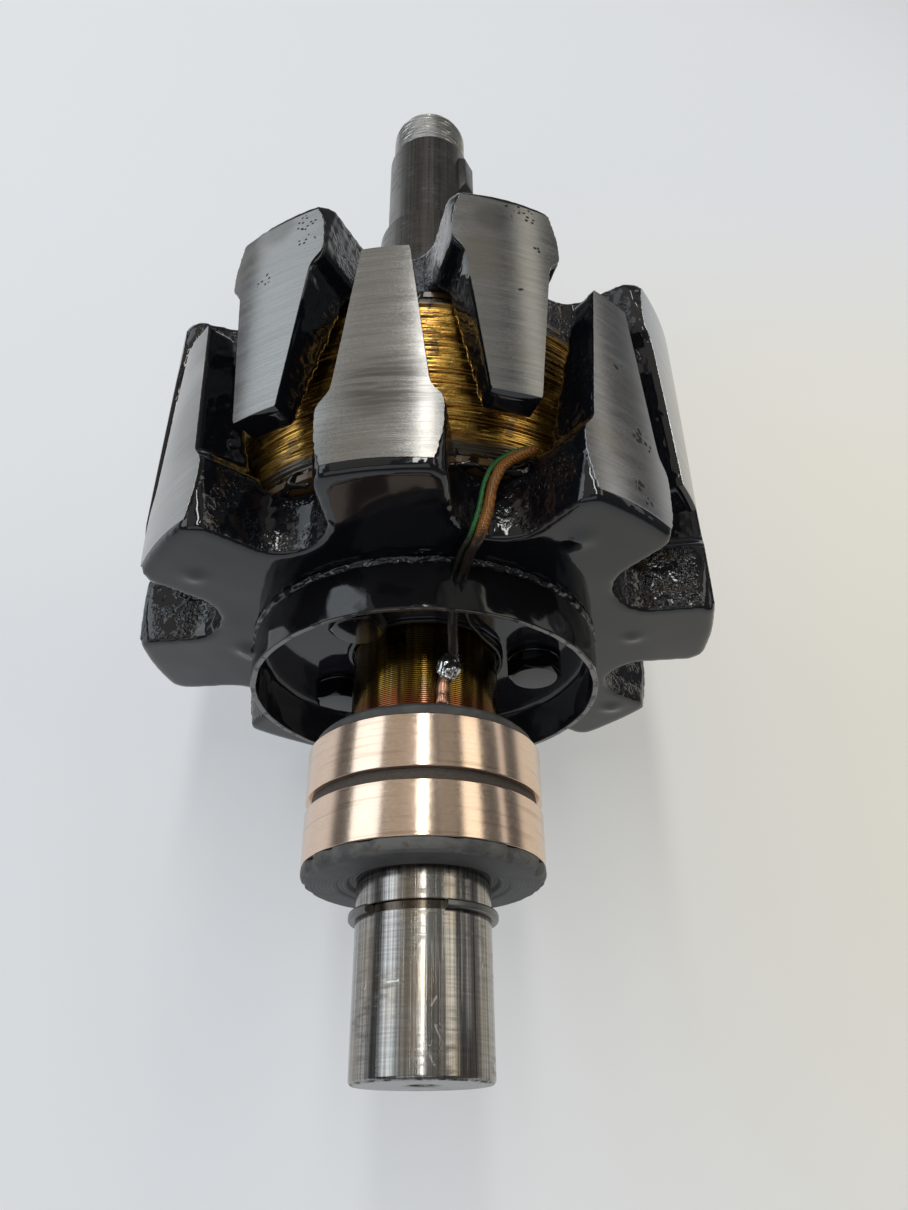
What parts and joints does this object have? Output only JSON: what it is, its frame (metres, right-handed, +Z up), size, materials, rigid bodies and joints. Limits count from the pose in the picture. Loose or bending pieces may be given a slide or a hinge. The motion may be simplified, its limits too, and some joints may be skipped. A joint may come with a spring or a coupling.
{
  "type": "alternator rotor",
  "caption": "Claw-pole alternator rotor: a shaft carrying interlocking claw halves round a field coil, slip rings on an insulating hub, a seal cup, a key and a threaded drive end.",
  "frame": {"origin": "on the ground under the shaft axis, half way along the rotor's length", "axes": "+Y along the shaft from the slip-ring end to the threaded drive end, +Z up, lying on its claws"},
  "size_m": [0.122, 0.2706, 0.122],
  "materials": {
    "shaft_steel": "ground",
    "key_steel": "dark satin",
    "spring_steel": "dark satin",
    "slip_pole": "black varnish with ground claw faces",
    "drive_pole": "black varnish with ground claw faces",
    "core_steel": "bare",
    "former": "varnished fibre",
    "winding": "enamelled copper wire",
    "hub_insulation": "moulded",
    "ring_copper": "fine turned",
    "amber_sleeve": "amber varnish",
    "cup_varnish": "gloss black varnish",
    "bolt_varnish": "gloss black varnish",
    "washer_varnish": "gloss black varnish",
    "brown_lead": "varnished sleeve",
    "green_lead": "varnished sleeve",
    "terminal_copper": "bare copper",
    "solder": "solder"
  },
  "bodies": {
    "root": {"shaft": "shaft_steel", "shaft_key": "key_steel", "circlip": "spring_steel", "slip_end_pole": "slip_pole", "drive_end_pole": "drive_pole", "pole_core": "core_steel", "coil_former": "former", "field_coil": "winding", "slip_ring_hub": "hub_insulation", "slip_ring_outer": "ring_copper", "slip_ring_inner": "ring_copper", "insulating_sleeve": "amber_sleeve", "seal_cup": "cup_varnish", "cup_bolt_right": "bolt_varnish", "cup_bolt_upper": "bolt_varnish", "cup_bolt_lower": "bolt_varnish", "cup_washer_right": "washer_varnish", "cup_washer_upper": "washer_varnish", "cup_washer_lower": "washer_varnish", "coil_lead_brown": "brown_lead", "coil_lead_green": "green_lead", "terminal_top": "terminal_copper", "terminal_bottom": "terminal_copper", "solder_top": "solder", "solder_bottom": "solder"}
  },
  "joints": []
}
